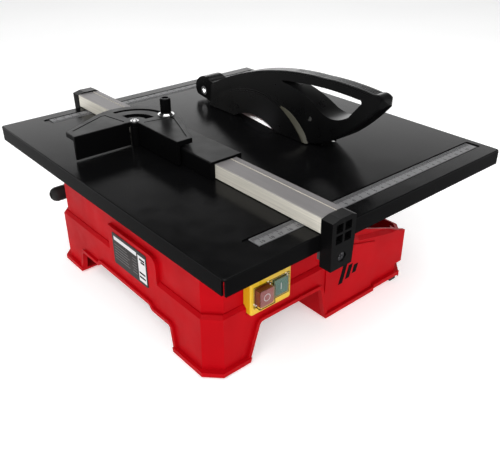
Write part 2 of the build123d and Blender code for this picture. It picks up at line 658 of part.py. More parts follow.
def make_splitter_bracket():
    """Spacer that carries the splitter on the blade case."""
    bracket = block(CASE_LEFT + 3, BLADE_X - 1, 108, 136, 108, 133)
    bracket -= block(CASE_LEFT + 6, BLADE_X - 4, 107, 137, 107, 126)
    bracket += block(CASE_LEFT + 3, CASE_LEFT + 6, 108, 136, 106, 110)
    for y in (116.0, 130.0):
        bracket -= rod_x(2.1, 54, 64, y, 124.0)
    for y in (110.0, 128.0):
        bracket -= rod_x(2.1, 40, 50, y, 116.0)
    return bracket


# ---------------------------------------------------------------- blade guard
def guard_face():
    """Side view of the guard as (Y, Z), from the hinge knuckle to the nose of the handle."""
    edges = [
        Line((-66, GUARD_BOTTOM), (116, GUARD_BOTTOM)),
        Line((116, GUARD_BOTTOM), (142, 165.4)),
        ThreePointArc((142, 165.4), (145.5, 175), (140, 185)),
        ThreePointArc((140, 185), (130, 190.4), (119, 189.4)),
        ThreePointArc((119, 189.4), (111, 186.8), (103.5, 189.2)),
        ThreePointArc((103.5, 189.2), (24.5, 219.5), (-69, 232.2)),
        ThreePointArc((-69, 232.2), (-105, 233.0), (-138, 230.6)),
        ThreePointArc((-138, 230.6), (-149.6, 228.2), (-152, 222.5)),
        ThreePointArc((-152, 222.5), (-126, 195.4), (-108, 180.4)),
        ThreePointArc((-108, 180.4), (-88.5, 168.6), (-66, GUARD_BOTTOM)),
    ]
    return make_face(edges)


def handle_hole_face():
    """Finger opening of the loop handle as (Y, Z), with a slender rear tip."""
    edges = [
        Line((-15, 217.8), (-47, 221.2)),
        ThreePointArc((-47, 221.2), (-85, 223.2), (-122, 222.2)),
        ThreePointArc((-122, 222.2), (-125.6, 220.6), (-124.4, 217.3)),
        Line((-124.4, 217.3), (-113.0, 202.6)),
        ThreePointArc((-113.0, 202.6), (-93.0, 195.0), (-72.0, 199.8)),
        ThreePointArc((-72.0, 199.8), (-45.5, 210.9), (-15.0, 215.6)),
        ThreePointArc((-15.0, 215.6), (-13.9, 216.7), (-15.0, 217.8)),
    ]
    return make_face(edges)


DOME_CENTRE = (22.2, 74.8)
DOME_RADIUS = 120.5
DOME_CHAMFER = 5.0
DOME_TOP_Z = 203.0
EDGE_ROUND = 2.4
GRIP_GROOVES = (-2.8, 0.0, 2.8)
GUARD_HALF_LOW = 18.6
GUARD_HALF_TOP = 7.8
NOSE_RADIUS = 12.9


def guard_taper(bottom_half, top_half, top_z):
    """Wedge that makes the guard narrower towards the top."""
    face = polygon((BLADE_X - bottom_half, GUARD_BOTTOM - 1), (BLADE_X + bottom_half, GUARD_BOTTOM - 1),
                   (BLADE_X + top_half, top_z), (BLADE_X - top_half, top_z))
    return slab_xz(face, -180, 180)


def guard_plan():
    """Plan limits of the guard: a narrow hinge knuckle behind and a round nose in front."""
    plan = Pos(BLADE_X, -15) * Rectangle(60, 248)
    plan += Pos(BLADE_X, 130) * Rectangle(25, 44)
    plan += Pos(BLADE_X, -139) * Circle(NOSE_RADIUS)
    return slab_xy(plan, GUARD_BOTTOM - 5, 245)


def guard_body():
    outline = guard_face()
    # outer edges rounded in small steps
    shell = Part()
    for angle in (0, 30, 60, 90):
        drop = EDGE_ROUND * (1 - math.cos(math.radians(angle)))
        inset = EDGE_ROUND * (1 - math.sin(math.radians(angle)))
        face = offset(outline, amount=-drop) if drop > 0 else outline
        shell += slab_yz(face, BLADE_X - 24, BLADE_X + 24) & guard_taper(GUARD_HALF_LOW - inset, GUARD_HALF_TOP - inset, 236.0)
    dome = Part()
    steps = 3
    for k in range(steps + 1):
        radius = DOME_RADIUS + DOME_CHAMFER * k / steps
        drop = 3.4 * k / steps
        ring = rod_x(radius, BLADE_X - 24, BLADE_X + 24, *DOME_CENTRE)
        dome += ring & guard_taper(22.0 - drop, 14.6 - drop, DOME_TOP_Z)
    dome &= block(0, 120, -66, 108, GUARD_BOTTOM, DOME_TOP_Z)
    dome &= slab_yz(outline, 0, 120)
    shell += dome
    shell &= guard_plan()
    # finger grooves along the top of the handle
    top_skin = (outline - offset(outline, amount=-0.7)) & Pos(-82, 229) * Rectangle(112, 16)
    for x in GRIP_GROOVES:
        shell -= slab_yz(top_skin, BLADE_X + x - 0.5, BLADE_X + x + 0.5)
    # finger opening, blade space, splitter slot, side windows, hinge hole
    shell -= slab_yz(handle_hole_face(), BLADE_X - 30, BLADE_X + 30)
    shell -= rod_x(96.0, BLADE_X - 9.5, BLADE_X + 9.5, AXIS_Y, AXIS_Z)
    shell -= rod_x(79.0, BLADE_X - 13.0, BLADE_X + 13.0, AXIS_Y, AXIS_Z)
    shell -= block(BLADE_X - 1.5, BLADE_X + 1.5, 70, 150, 150, 184.6)
    window_edges = [
        ThreePointArc((58, GUARD_BOTTOM - 1), (22, 170.2), (-16, GUARD_BOTTOM - 1)),
        Line((-16, GUARD_BOTTOM - 1), (58, GUARD_BOTTOM - 1)),
    ]
    shell -= slab_yz(make_face(window_edges), BLADE_X - 30, BLADE_X + 30)
    shell -= rod_x(3.05, BLADE_X - 30, BLADE_X + 30, PIVOT_Y, PIVOT_Z)
    # counterbores for the hinge bolt and the shell screws
    for side in (-1, 1):
        shell -= rod_x(5.8, BLADE_X + side * KNUCKLE_SEAT, BLADE_X + side * 30, PIVOT_Y, PIVOT_Z)
    for side, y, z, seat in GUARD_SCREWS:
        shell -= rod_x(2.6, BLADE_X + side * seat, BLADE_X + side * 30, y, z)
        shell -= rod_x(1.55, BLADE_X - side * 7.0, BLADE_X + side * 30, y, z)
    return shell


# each screw as the side of its head, Y, Z and the depth of its seat from the blade's plane
GUARD_SCREWS = [(-1, -61.8, 187.2, 12.0), (1, -135.0, 219.0, 7.4), (1, 91.0, 188.0, 11.0)]
KNUCKLE_SEAT = 9.6


def make_guard_halves():
    body = guard_body()
    left = body & block(BLADE_X - 30, BLADE_X, -180, 180, 140, 260)
    right = body & block(BLADE_X, BLADE_X + 30, -180, 180, 140, 260)
    return left, right


def make_guard_screws():
    screws = Part()
    for side, y, z, seat in GUARD_SCREWS:
        screws += rod_x(1.5, BLADE_X - side * 6.5, BLADE_X + side * (seat + 0.5), y, z)
        screws += rod_x(2.5, BLADE_X + side * seat, BLADE_X + side * (seat + 1.8), y, z)
    return screws


def make_guard_pivot_bolt():
    bolt = rod_x(3.0, BLADE_X - KNUCKLE_SEAT - 0.5, BLADE_X + 14.0, PIVOT_Y, PIVOT_Z)
    bolt += rod_x(5.3, BLADE_X - KNUCKLE_SEAT - 3.2, BLADE_X - KNUCKLE_SEAT, PIVOT_Y, PIVOT_Z)
    return bolt - hex_x(6.0, BLADE_X - KNUCKLE_SEAT - 4, BLADE_X - KNUCKLE_SEAT - 1.2, PIVOT_Y, PIVOT_Z)


def make_guard_pivot_nut():
    nut = hex_x(10.6, BLADE_X + KNUCKLE_SEAT + 0.1, BLADE_X + KNUCKLE_SEAT + 4.0, PIVOT_Y, PIVOT_Z)
    return nut - rod_x(3.0, BLADE_X + KNUCKLE_SEAT - 1, BLADE_X + 20, PIVOT_Y, PIVOT_Z)


# ---------------------------------------------------------------- table
def ruler_recess(y0, y1):
    recess = block(RULER_LEFT - 7, RULER_LEFT + RULER_LENGTH + 5, y0, y1, TABLE_TOP - 1.0, TABLE_TOP + 1)
    return fillet(recess.edges().filter_by(Axis.Z), 3.0)


FRONT_RULER_Y = (-186.9, -186.9 + RULER_WIDTH)
REAR_RULER_Y = (177.0, 177.0 + RULER_WIDTH)


def make_table_top():
    top = block(-table_half_width, table_half_width, -table_half_depth, table_half_depth, table_under, TABLE_TOP)
    top = fillet(top.edges().filter_by(Axis.Z), 3.0)
    top_edges = top.faces().sort_by(Axis.Z)[-1].edges()
    top = fillet(top_edges, 1.2)
    inner_x = table_half_width - SHEET
    inner_y = table_half_depth - SHEET
    end_x = table_half_width - 1.5
    end_y = table_half_depth - LIP_CORNER_GAP
    for side in (-1, 1):
        top += block(side * inner_x, side * table_half_width, -end_y, end_y, lip_bottom, table_under)
        top += block(-end_x, end_x, side * inner_y, side * table_half_depth, lip_bottom, table_under)
    # the blade's front edge runs to the right and forward in the slot as the table tilts
    slot_plan = polygon((SLOT_LEFT, SLOT_FRONT_LEFT), (SLOT_RIGHT - 4, SLOT_FRONT), (SLOT_RIGHT, SLOT_FRONT),
                        (SLOT_RIGHT, SLOT_REAR), (SLOT_LEFT, SLOT_REAR))
    slot = slab_xy(slot_plan, table_under - 1, TABLE_TOP + 1)
    slot = fillet(slot.edges().filter_by(Axis.Z), 1.5)
    # the slot is wider beside the blade's left flank, with a slanted edge
    wide_plan = polygon(WIDE_SLOT_FRONT, (SLOT_RIGHT - 5, WIDE_SLOT_FRONT[1]), (SLOT_RIGHT - 5, WIDE_SLOT_REAR[1]),
                        WIDE_SLOT_REAR)
    slot += slab_xy(wide_plan, table_under - 1, TABLE_TOP + 1)
    top -= slot
    for y0, y1 in (FRONT_RULER_Y, REAR_RULER_Y):
        top -= ruler_recess(y0 - 2.0, y1 + 2.0)
    return top


def make_ruler(y_range):
    strip = block(RULER_LEFT, RULER_LEFT + RULER_LENGTH, y_range[0], y_range[1], TABLE_TOP - 1.0, TABLE_TOP - 0.2)
    return strip


QUADRANT_X = (-30.0, 66.0)


def make_quadrant(side):
    """Steel segment under the table with the curved tilt slot; side is -1 in front, 1 behind."""
    far = front_inside + 0.5 if side < 0 else rear_inside - 0.5
    near = far - side * 2.0
    centre = (TILT_X, TABLE_TOP)
    outer = arc_band(TILT_SLOT_RADIUS - 10, TILT_SLOT_RADIUS + 9, 196, 300)
    web = polygon(polar(TILT_SLOT_RADIUS - 9.5, 196), polar(TILT_SLOT_RADIUS - 9.5, 248),
                  polar(TILT_SLOT_RADIUS - 9.5, 300), (QUADRANT_X[1] - TILT_X, -4), (QUADRANT_X[0] - TILT_X, -4))
    outline = (outer + web) & Pos(0, -60) * Rectangle(200, 115.9)
    hole = arc_slot(TILT_SLOT_RADIUS, 3.2, TILT_LOCK_ANGLE, TILT_GUIDE_ANGLE + 45)
    plate = slab_xz(Pos(*centre) * (outline - hole), min(near, far), max(near, far))
    flange = block(QUADRANT_X[0], QUADRANT_X[1] - 14, side * 124, far, table_under - 2.05, table_under)
    plate += flange
    for x in (-20.0, 40.0):
        plate -= rod_z(2.0, table_under - 5, table_under + 1, x, side * 131)
    return plate


def make_quadrant_rivets():
    rivets = Part()
    for side in (-1, 1):
        for x in (-20.0, 40.0):
            rivets += rod_z(1.95, table_under - 2.05, table_under, x, side * 131)
            rivets += rod_z(3.4, table_under - 3.6, table_under - 2.05, x, side * 131)
    return rivets


def make_tilt_guide_bolts():
    """Fixed bolts at the lower end of each curved slot."""
    x, z = tilt_point(TILT_GUIDE_ANGLE)
    bolts = Part()
    for side in (-1, 1):
        wall = upper_front if side < 0 else upper_rear
        inner = wall - side * (WALL + 2.8)
        bolts += rod_y(3.0, inner - side * 4, wall, x, z)
        bolts += slab_xz(Pos(x, z) * RegularPolygon(5.8, 6), *sorted((wall, wall + side * 4)))
        bolts += slab_xz(Pos(x, z) * RegularPolygon(6.4, 6), *sorted((inner, inner - side * 5)))
    return bolts


def make_tilt_lock_nuts():
    x, z = tilt_point(TILT_LOCK_ANGLE)
    nuts = Part()
    for side in (-1, 1):
        inner = upper_front + WALL + 2.8 if side < 0 else upper_rear - WALL - 2.8
        nut = slab_xz(Pos(x, z) * Rectangle(11, 11), *sorted((inner, inner - side * 5)))
        nuts += nut - rod_y(3.05, -160, 160, x, z)
    return nuts


def make_tilt_knob(side):
    """Five-lobed hand knob on a threaded stud."""
    x, z = tilt_point(TILT_LOCK_ANGLE)
    wall = upper_front if side < 0 else upper_rear
    start = wall + side * 0.4
    end = start + side * 15.0
    face = Circle(11.0)
    for k in range(5):
        face += Pos(*polar(9.5, 72.0 * k + 18)) * Circle(5.0)
    knob = slab_xz(Pos(x, z) * face, *sorted((start + side * 5, end)))
    knob = fillet(knob.faces().sort_by(Axis.Y)[0 if side < 0 else -1].edges(), 1.5)
    knob += rod_y(8.0, start, start + side * 6, x, z)
    knob += rod_y(3.0, start, side * 133.5, x, z)
    return knob


# ---------------------------------------------------------------- fence
def make_fence_rail():
    """Hollow aluminium extrusion with a shallow groove along its top."""
    rail = block(RAIL_LEFT, rail_right, -table_half_depth, table_half_depth, RAIL_BOTTOM, RAIL_TOP)
    rail = chamfer(rail.edges().filter_by(Axis.Y), 0.6)
    rail -= block(RAIL_LEFT + 1.8, RAIL_LEFT + 16.4, -300, 300, RAIL_BOTTOM + 1.6, RAIL_TOP - 1.8)
    rail -= block(RAIL_LEFT + 18.2, rail_right - 1.8, -300, 300, RAIL_BOTTOM + 1.6, RAIL_TOP - 3.0)
    groove_x = RAIL_LEFT + 18.6
    rail -= block(groove_x, groove_x + 1.3, -300, 300, RAIL_TOP - 1.0, RAIL_TOP + 1)
    return rail


CLAMP_LEFT = RAIL_LEFT - 0.8
CLAMP_RIGHT = rail_right + 0.8
CLAMP_BOTTOM = TABLE_TOP - 31.0
CLAMP_TOP = RAIL_TOP + 1.6
CLAMP_THICK = 12.7
CLAMP_SCREW_Z = TABLE_TOP - 20.6


def make_clamp(side):
    """Plastic end piece: a plug in the rail's end and a leg outside the table's lip."""
    back = side * (table_half_depth + 0.3)
    front = back + side * CLAMP_THICK
    mid_x = (CLAMP_LEFT + CLAMP_RIGHT) / 2
    leg_face = polygon((CLAMP_LEFT, CLAMP_TOP - 2), (CLAMP_LEFT + 9, CLAMP_TOP), (CLAMP_RIGHT - 4, CLAMP_TOP),
                       (CLAMP_RIGHT, CLAMP_TOP - 2), (CLAMP_RIGHT, TABLE_TOP - 6),
                       (CLAMP_RIGHT - 1.6, CLAMP_BOTTOM), (CLAMP_LEFT + 1.0, CLAMP_BOTTOM))
    leg = slab_xz(leg_face, min(back, front), max(back, front))
    pocket_w = 8.0
    pocket_h = 8.2
    for dx in (-5.2, 5.2):
        for z in (TABLE_TOP + 8.2, TABLE_TOP - 2.2):
            leg -= block(mid_x + dx - pocket_w / 2, mid_x + dx + pocket_w / 2,
                         front - side * 4.5, front + side, z - pocket_h / 2, z + pocket_h / 2)
    plug = block(RAIL_LEFT + 2.0, RAIL_LEFT + 16.2, side * (table_half_depth - 16), back,
                 RAIL_BOTTOM + 1.8, RAIL_TOP - 2.0)
    leg += plug
    leg -= rod_y(2.6, back - side * 30, front + side, mid_x, CLAMP_SCREW_Z)
    leg -= rod_y(4.6, front - side * 5, front + side, mid_x, CLAMP_SCREW_Z)
    return leg


def make_clamp_jaw(side):
    """Steel jaw behind the lip, drawn forward by the clamp's screw."""
    lip_inside = side * (table_half_depth - SHEET - 0.4)
    back = side * (table_half_depth + 0.3)
    jaw = block(RAIL_LEFT + 4, rail_right - 4, lip_inside, lip_inside - side * 4, CLAMP_BOTTOM + 3, table_under - 3)
    jaw += block(RAIL_LEFT + 4, rail_right - 4, back, lip_inside - side * 4, CLAMP_BOTTOM + 3, lip_bottom - 0.4)
    return jaw - rod_y(2.6, -300, 300, (CLAMP_LEFT + CLAMP_RIGHT) / 2, CLAMP_SCREW_Z)


def make_clamp_screws():
    mid_x = (CLAMP_LEFT + CLAMP_RIGHT) / 2
    screws = Part()
    for side in (-1, 1):
        back = side * (table_half_depth + 0.3)
        seat = back + side * (CLAMP_THICK - 5)
        screws += rod_y(2.5, seat, side * (table_half_depth - 12), mid_x, CLAMP_SCREW_Z)
        head = rod_y(4.4, seat, seat + side * 3.2, mid_x, CLAMP_SCREW_Z)
        slot = block(mid_x - 3, mid_x + 3, seat + side * 2.2, seat + side * 4, CLAMP_SCREW_Z - 0.5, CLAMP_SCREW_Z + 0.5)
        cross = block(mid_x - 0.5, mid_x + 0.5, seat + side * 2.2, seat + side * 4, CLAMP_SCREW_Z - 3, CLAMP_SCREW_Z + 3)
        screws += head - slot - cross
    return screws


# ---------------------------------------------------------------- angle guide
BLOCK_LEFT = RAIL_LEFT - 5.4
BLOCK_RIGHT = rail_right + 5.4
BLOCK_TOP = TABLE_TOP + 18.5
BLOCK_FRONT = -67.7
BLOCK_REAR = 78.3
PAD_TOP = HEAD_BOTTOM - 0.3
POST_RADIUS = 5.0
EYE_RADIUS = 5.6
LEFT_REACH = 69.5                # length of the wing across the table
FRONT_REACH = 77.1               # length of the wing towards the operator
WING_FACE = 0.8                  # outer faces of the wings, behind the pivot's centre
WING_WALL = 3.0
WING_END = 19.0
WING_START = 6.2
PLATE_RADIUS = 49.0


def make_guide_block():
    """Saddle that slides along the rail, with the round post that carries the guide's head."""
    body = block(BLOCK_LEFT, BLOCK_RIGHT, BLOCK_FRONT, BLOCK_REAR, TABLE_TOP + 0.6, BLOCK_TOP)
    body = chamfer(body.edges().filter_by(Axis.Y).group_by(Axis.Z)[-1], 1.0)
    body += block(BLOCK_LEFT + 1.0, BLOCK_RIGHT - 1.0, HEAD_Y - 30, BLOCK_REAR, BLOCK_TOP - 2.0, PAD_TOP)
    body += block(HEAD_X, BLOCK_LEFT + 3, HEAD_Y - POST_RADIUS, HEAD_Y + POST_RADIUS, TABLE_TOP + 0.6, PAD_TOP)
    body += rod_z(POST_RADIUS, TABLE_TOP + 0.6, PAD_TOP, HEAD_X, HEAD_Y)
    body -= block(RAIL_LEFT - 0.35, rail_right + 0.35, BLOCK_FRONT - 1, BLOCK_REAR + 1, TABLE_TOP - 1, RAIL_TOP + 0.35)
    body -= rod_z(2.0, PAD_TOP - 12, PAD_TOP + 1, HEAD_X, HEAD_Y)
    body -= rod_z(2.55, RAIL_TOP, PAD_TOP + 1, knob_x, knob_y)
    return body


def tangent_point(corner, radius, side):
    """Point where the line from the corner touches the plate's round back."""
    distance = math.hypot(*corner)
    bearing = math.degrees(math.atan2(corner[1], corner[0]))
    return polar(radius, bearing + side * math.degrees(math.acos(radius / distance)))


def guide_plate_face():
    left_back = (-LEFT_REACH, WING_END)
    right_back = (WING_END, -FRONT_REACH)
    left_touch = tangent_point(left_back, PLATE_RADIUS, -1)
    right_touch = tangent_point(right_back, PLATE_RADIUS, 1)
    edges = [
        Line((WING_FACE, WING_FACE), (-LEFT_REACH, WING_FACE)),
        Line((-LEFT_REACH, WING_FACE), left_back),
        Line(left_back, left_touch),
        ThreePointArc(left_touch, polar(PLATE_RADIUS, 45), right_touch),
        Line(right_touch, right_back),
        Line(right_back, (WING_FACE, -FRONT_REACH)),
        Line((WING_FACE, -FRONT_REACH), (WING_FACE, WING_FACE)),
    ]
    return make_face(edges) + Circle(EYE_RADIUS)


def wing_groove(reach):
    """Decorative groove on the wing across the table, as a closed narrow outline."""
    tip_x = 6.0 - reach
    return polygon((tip_x, 16.9), (-19.5, 37.2), (-14.6, 36.4), (-8.6, 6.0),
                   (-10.2, 5.6), (-15.9, 34.8), (-19.1, 35.5), (tip_x + 1.0, 15.4))


def make_guide_head():
    plate = slab_xy(guide_plate_face(), HEAD_BOTTOM, HEAD_TOP)
    top_edges = plate.faces().sort_by(Axis.Z)[-1].edges()
    plate = chamfer(top_edges, 0.6)
    wall_bottom = TABLE_TOP + 1.5
    inner = WING_FACE + WING_WALL
    wall = block(-LEFT_REACH, -WING_START, WING_FACE, inner, wall_bottom, HEAD_BOTTOM + 1)
    wall += block(WING_FACE, inner, -FRONT_REACH, -WING_START, wall_bottom, HEAD_BOTTOM + 1)
    # stiffening ribs between the wall and the plate, kept out of the rail's path
    for reach in (-36.0, -60.0):
        wall += block(reach - 1, reach + 1, inner - 1, inner + 5, HEAD_BOTTOM - 10, HEAD_BOTTOM + 1)
    head = plate + wall
    head -= slab_xy(arc_slot(KNOB_ARM, 2.8, KNOB_ANGLE, KNOB_ANGLE + 101), HEAD_BOTTOM - 1, HEAD_TOP + 1)
    head -= slab_xy(arc_band(13.0, 23.0, -6, 94), HEAD_BOTTOM - 1, HEAD_TOP + 1)
    groove = slab_xy(wing_groove(LEFT_REACH), HEAD_TOP - 0.7, HEAD_TOP + 1)
    head -= groove
    front_groove = slab_xy(wing_groove(FRONT_REACH), HEAD_TOP - 0.7, HEAD_TOP + 1)
    head -= mirror(front_groove, Plane(origin=(0, 0, 0), z_dir=(1, -1, 0)))
    head -= rod_z(2.05, HEAD_BOTTOM - 1, HEAD_TOP + 1, 0, 0)
    return Pos(HEAD_X, HEAD_Y, 0) * head


def make_guide_pivot_screw():
    screw = rod_z(2.0, PAD_TOP - 11.5, HEAD_TOP + 0.3, HEAD_X, HEAD_Y)
    flange = rod_z(4.6, HEAD_TOP + 0.25, HEAD_TOP + 0.9, HEAD_X, HEAD_Y)
    head = rod_z(3.0, HEAD_TOP + 0.25, HEAD_TOP + 2.3, HEAD_X, HEAD_Y)
    head = fillet(head.edges().filter_by(GeomType.CIRCLE).sort_by(Axis.Z)[-1], 1.0)
    screw += flange + head
    for turn in (0, 90):
        screw -= Pos(HEAD_X, HEAD_Y, HEAD_TOP + 2.1) * Rot(0, 0, turn) * Box(3.6, 0.7, 1.2)
    return screw


def make_guide_knob():
    """Knurled clamping knob with its screw through the curved slot."""
    z0 = HEAD_TOP + 3.0
    z1 = z0 + 16.5
    knob = rod_z(5.8, z0, z1, knob_x, knob_y)
    flutes = 18
    for k in range(flutes):
        dx, dy = polar(6.05, 360.0 * k / flutes)
        knob -= rod_z(0.55, z0 + 1.5, z1 - 1.5, knob_x + dx, knob_y + dy)
    knob = chamfer(knob.edges().filter_by(GeomType.CIRCLE).sort_by(Axis.Z)[-1], 0.8)
    knob -= rod_z(3.6, z1 - 2.0, z1 + 1, knob_x, knob_y)
    knob += rod_z(2.5, RAIL_TOP + 0.8, z0 + 1, knob_x, knob_y)
    return knob


def make_guide_knob_washer():
    """Bright flanged washer under the knob."""
    low = rod_z(9.0, HEAD_TOP + 0.3, HEAD_TOP + 1.4, knob_x, knob_y)
    cone = Pos(knob_x, knob_y, HEAD_TOP + 2.2) * Cone(8.4, 6.4, 1.6)
    return low + cone - rod_z(2.5, 150, 220, knob_x, knob_y)


# ---------------------------------------------------------------- write every sub-part
guard_left, guard_right = make_guard_halves()

NODES = {
    "base_housing": make_base_housing(),
    "rubber_feet": make_rubber_feet(),
    "drain_plug": make_drain_plug(),
    "rating_plate": make_rating_plate(),
    "switch_frame": make_switch_frame(),
    "switch_body": make_switch_body(),
    "switch_boot": make_switch_boot(),
    "stop_button": make_button(STOP_X, BOOT_FRONT + 1.1),
    "start_button": make_button(START_X, FRAME_FRONT - 0.9),
    "cord_gland": make_cord_gland(),
    "gland_nut": make_gland_nut(),
    "motor_housing": make_motor_housing(),
    "motor_front_bell": make_motor_front_bell(),
    "motor_rear_bell": make_motor_rear_bell(),
    "motor_bearings": make_motor_bearings(),
    "motor_stator": make_motor_stator(),
    "motor_fan_cover": make_fan_cover(),
    "motor_cradle": make_motor_cradle(),
    "motor_bolts": make_motor_bolts(),
    "run_capacitor": make_run_capacitor(),
    "capacitor_clip": make_capacitor_clip(),
    "arbor_shaft": make_arbor_shaft(),
    "motor_rotor": make_motor_rotor(),
    "motor_fan": make_motor_fan(),
    "inner_flange": make_inner_flange(),
    "outer_flange": make_outer_flange(),
    "arbor_nut": make_arbor_nut(),
    "diamond_blade": make_diamond_blade(),
    "blade_case": make_blade_case(),
    "case_mount_screws": make_case_mount_screws(),
    "blade_case_cover": make_blade_case_cover(),
    "case_cover_screws": make_case_cover_screws(),
    "splitter": make_splitter(),
    "splitter_bracket": make_splitter_bracket(),
    "guard_left_shell": guard_left,
    "guard_right_shell": guard_right,
    "guard_screws": make_guard_screws(),
    "guard_pivot_bolt": make_guard_pivot_bolt(),
    "guard_pivot_nut": make_guard_pivot_nut(),
    "table_top": make_table_top(),
    "front_ruler": make_ruler(FRONT_RULER_Y),
    "rear_ruler": make_ruler(REAR_RULER_Y),
    "front_quadrant": make_quadrant(-1),
    "rear_quadrant": make_quadrant(1),
    "quadrant_rivets": make_quadrant_rivets(),
    "tilt_guide_bolts": make_tilt_guide_bolts(),
    "tilt_lock_nuts": make_tilt_lock_nuts(),
    "front_tilt_knob": make_tilt_knob(-1),
    "rear_tilt_knob": make_tilt_knob(1),
    "fence_rail": make_fence_rail(),
    "front_clamp": make_clamp(-1),
    "rear_clamp": make_clamp(1),
    "clamp_jaws": make_clamp_jaw(-1) + make_clamp_jaw(1),
    "clamp_screws": make_clamp_screws(),
    "guide_block": make_guide_block(),
    "guide_head": make_guide_head(),
    "guide_pivot_screw": make_guide_pivot_screw(),
    "guide_knob": make_guide_knob(),
    "guide_knob_washer": make_guide_knob_washer(),
}

for node_name, node_part in NODES.items():
    save(node_name, node_part)
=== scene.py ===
import bpy
import bmesh
import json
import math
from mathutils import Matrix, Vector


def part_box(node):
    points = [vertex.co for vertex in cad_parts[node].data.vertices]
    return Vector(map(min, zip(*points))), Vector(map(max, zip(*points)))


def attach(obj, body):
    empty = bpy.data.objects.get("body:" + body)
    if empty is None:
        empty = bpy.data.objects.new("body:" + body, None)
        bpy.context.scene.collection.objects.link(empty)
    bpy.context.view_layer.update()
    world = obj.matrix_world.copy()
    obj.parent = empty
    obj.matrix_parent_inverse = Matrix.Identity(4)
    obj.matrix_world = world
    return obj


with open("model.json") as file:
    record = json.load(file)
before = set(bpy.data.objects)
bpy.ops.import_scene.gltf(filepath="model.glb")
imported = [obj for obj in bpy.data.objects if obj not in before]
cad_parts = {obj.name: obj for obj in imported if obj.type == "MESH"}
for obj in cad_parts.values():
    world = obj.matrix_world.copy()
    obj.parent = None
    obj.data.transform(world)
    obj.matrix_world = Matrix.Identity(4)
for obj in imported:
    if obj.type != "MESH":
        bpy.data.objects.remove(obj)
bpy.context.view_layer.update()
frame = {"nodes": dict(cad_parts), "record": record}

MM = 0.001


# ---------------------------------------------------------------- materials
class Shader:
    """A Principled material with object coordinates, built up node by node."""

    def __init__(self, name):
        self.material = bpy.data.materials.new(name)
        self.material.use_nodes = True
        self.tree = self.material.node_tree
        self.bsdf = self.tree.nodes["Principled BSDF"]
        self.coords = self.tree.nodes.new("ShaderNodeTexCoord").outputs["Object"]

    def node(self, kind, **inputs):
        made = self.tree.nodes.new(kind)
        for key, value in inputs.items():
            made.inputs[key.replace("_", " ")].default_value = value
        return made

    def link(self, source, target):
        self.tree.links.new(source, target)

    def value(self, name, number):
        self.bsdf.inputs[name].default_value = number

    def scaled(self, stretch):
        mapping = self.tree.nodes.new("ShaderNodeMapping")
        mapping.inputs["Scale"].default_value = stretch
        self.link(self.coords, mapping.inputs["Vector"])
        return mapping.outputs["Vector"]

    def noise(self, scale, detail=3.0, stretch=None, rough=0.5):
        made = self.node("ShaderNodeTexNoise", Scale=scale, Detail=detail, Roughness=rough)
        self.link(self.scaled(stretch) if stretch else self.coords, made.inputs["Vector"])
        return made.outputs["Fac"]

    def ramp(self, source, stops):
        made = self.tree.nodes.new("ShaderNodeValToRGB")
        elements = made.color_ramp.elements
        while len(elements) < len(stops):
            elements.new(0.5)
        for element, (position, colour) in zip(elements, stops):
            element.position = position
            element.color = colour if len(colour) == 4 else (*colour, 1.0)
        self.link(source, made.inputs["Fac"])
        return made.outputs["Color"]

    def spread(self, source, low, high):
        made = self.tree.nodes.new("ShaderNodeMapRange")
        made.inputs["From Min"].default_value = 0.3
        made.inputs["From Max"].default_value = 0.7
        made.inputs["To Min"].default_value = low
        made.inputs["To Max"].default_value = high
        self.link(source, made.inputs["Value"])
        return made.outputs["Result"]

    def facing_up(self):
        """Object-space normal's Z: 1 on top faces, 0 on upright ones."""
        split = self.tree.nodes.new("ShaderNodeSeparateXYZ")
        self.link(self.tree.nodes["Texture Coordinate"].outputs["Normal"], split.inputs["Vector"])
        return split.outputs["Z"]

    def bump(self, source, strength, distance):
        made = self.node("ShaderNodeBump", Strength=strength, Distance=distance)
        self.link(source, made.inputs["Height"])
        self.link(made.outputs["Normal"], self.bsdf.inputs["Normal"])


def tint(colour, factor):
    return tuple(min(1.0, c * factor) for c in colour[:3])


def plastic(name, colour, rough, grain=900.0, bump=0.12, spec=0.5, variation=0.12, flank=None):
    """Moulded plastic: fine texture, slow colour drift and uneven gloss.

    spec is the sheen of faces that look up, and flank that of upright faces where it differs: the lower sheen
    on upright faces is painted shade that darkens them, not a property of the plastic.
    """
    s = Shader(name)
    drift = s.noise(14.0, 2.0)
    colour_out = s.ramp(drift, [(0.35, tint(colour, 1.0 - variation)), (0.65, tint(colour, 1.0 + variation))])
    s.link(colour_out, s.bsdf.inputs["Base Color"])
    s.link(s.spread(s.noise(60.0, 4.0), rough * 0.85, rough * 1.2), s.bsdf.inputs["Roughness"])
    s.value("Specular IOR Level", spec)
    # painted shade: sheen fades from spec on top faces to flank on upright faces
    if flank is not None:
        sheen = s.tree.nodes.new("ShaderNodeMapRange")
        sheen.inputs["From Min"].default_value = 0.05
        sheen.inputs["From Max"].default_value = 0.75
        sheen.inputs["To Min"].default_value = flank
        sheen.inputs["To Max"].default_value = spec
        s.link(s.facing_up(), sheen.inputs["Value"])
        s.link(sheen.outputs["Result"], s.bsdf.inputs["Specular IOR Level"])
    s.bump(s.noise(grain, 2.0), bump, 0.0002)
    return s.material


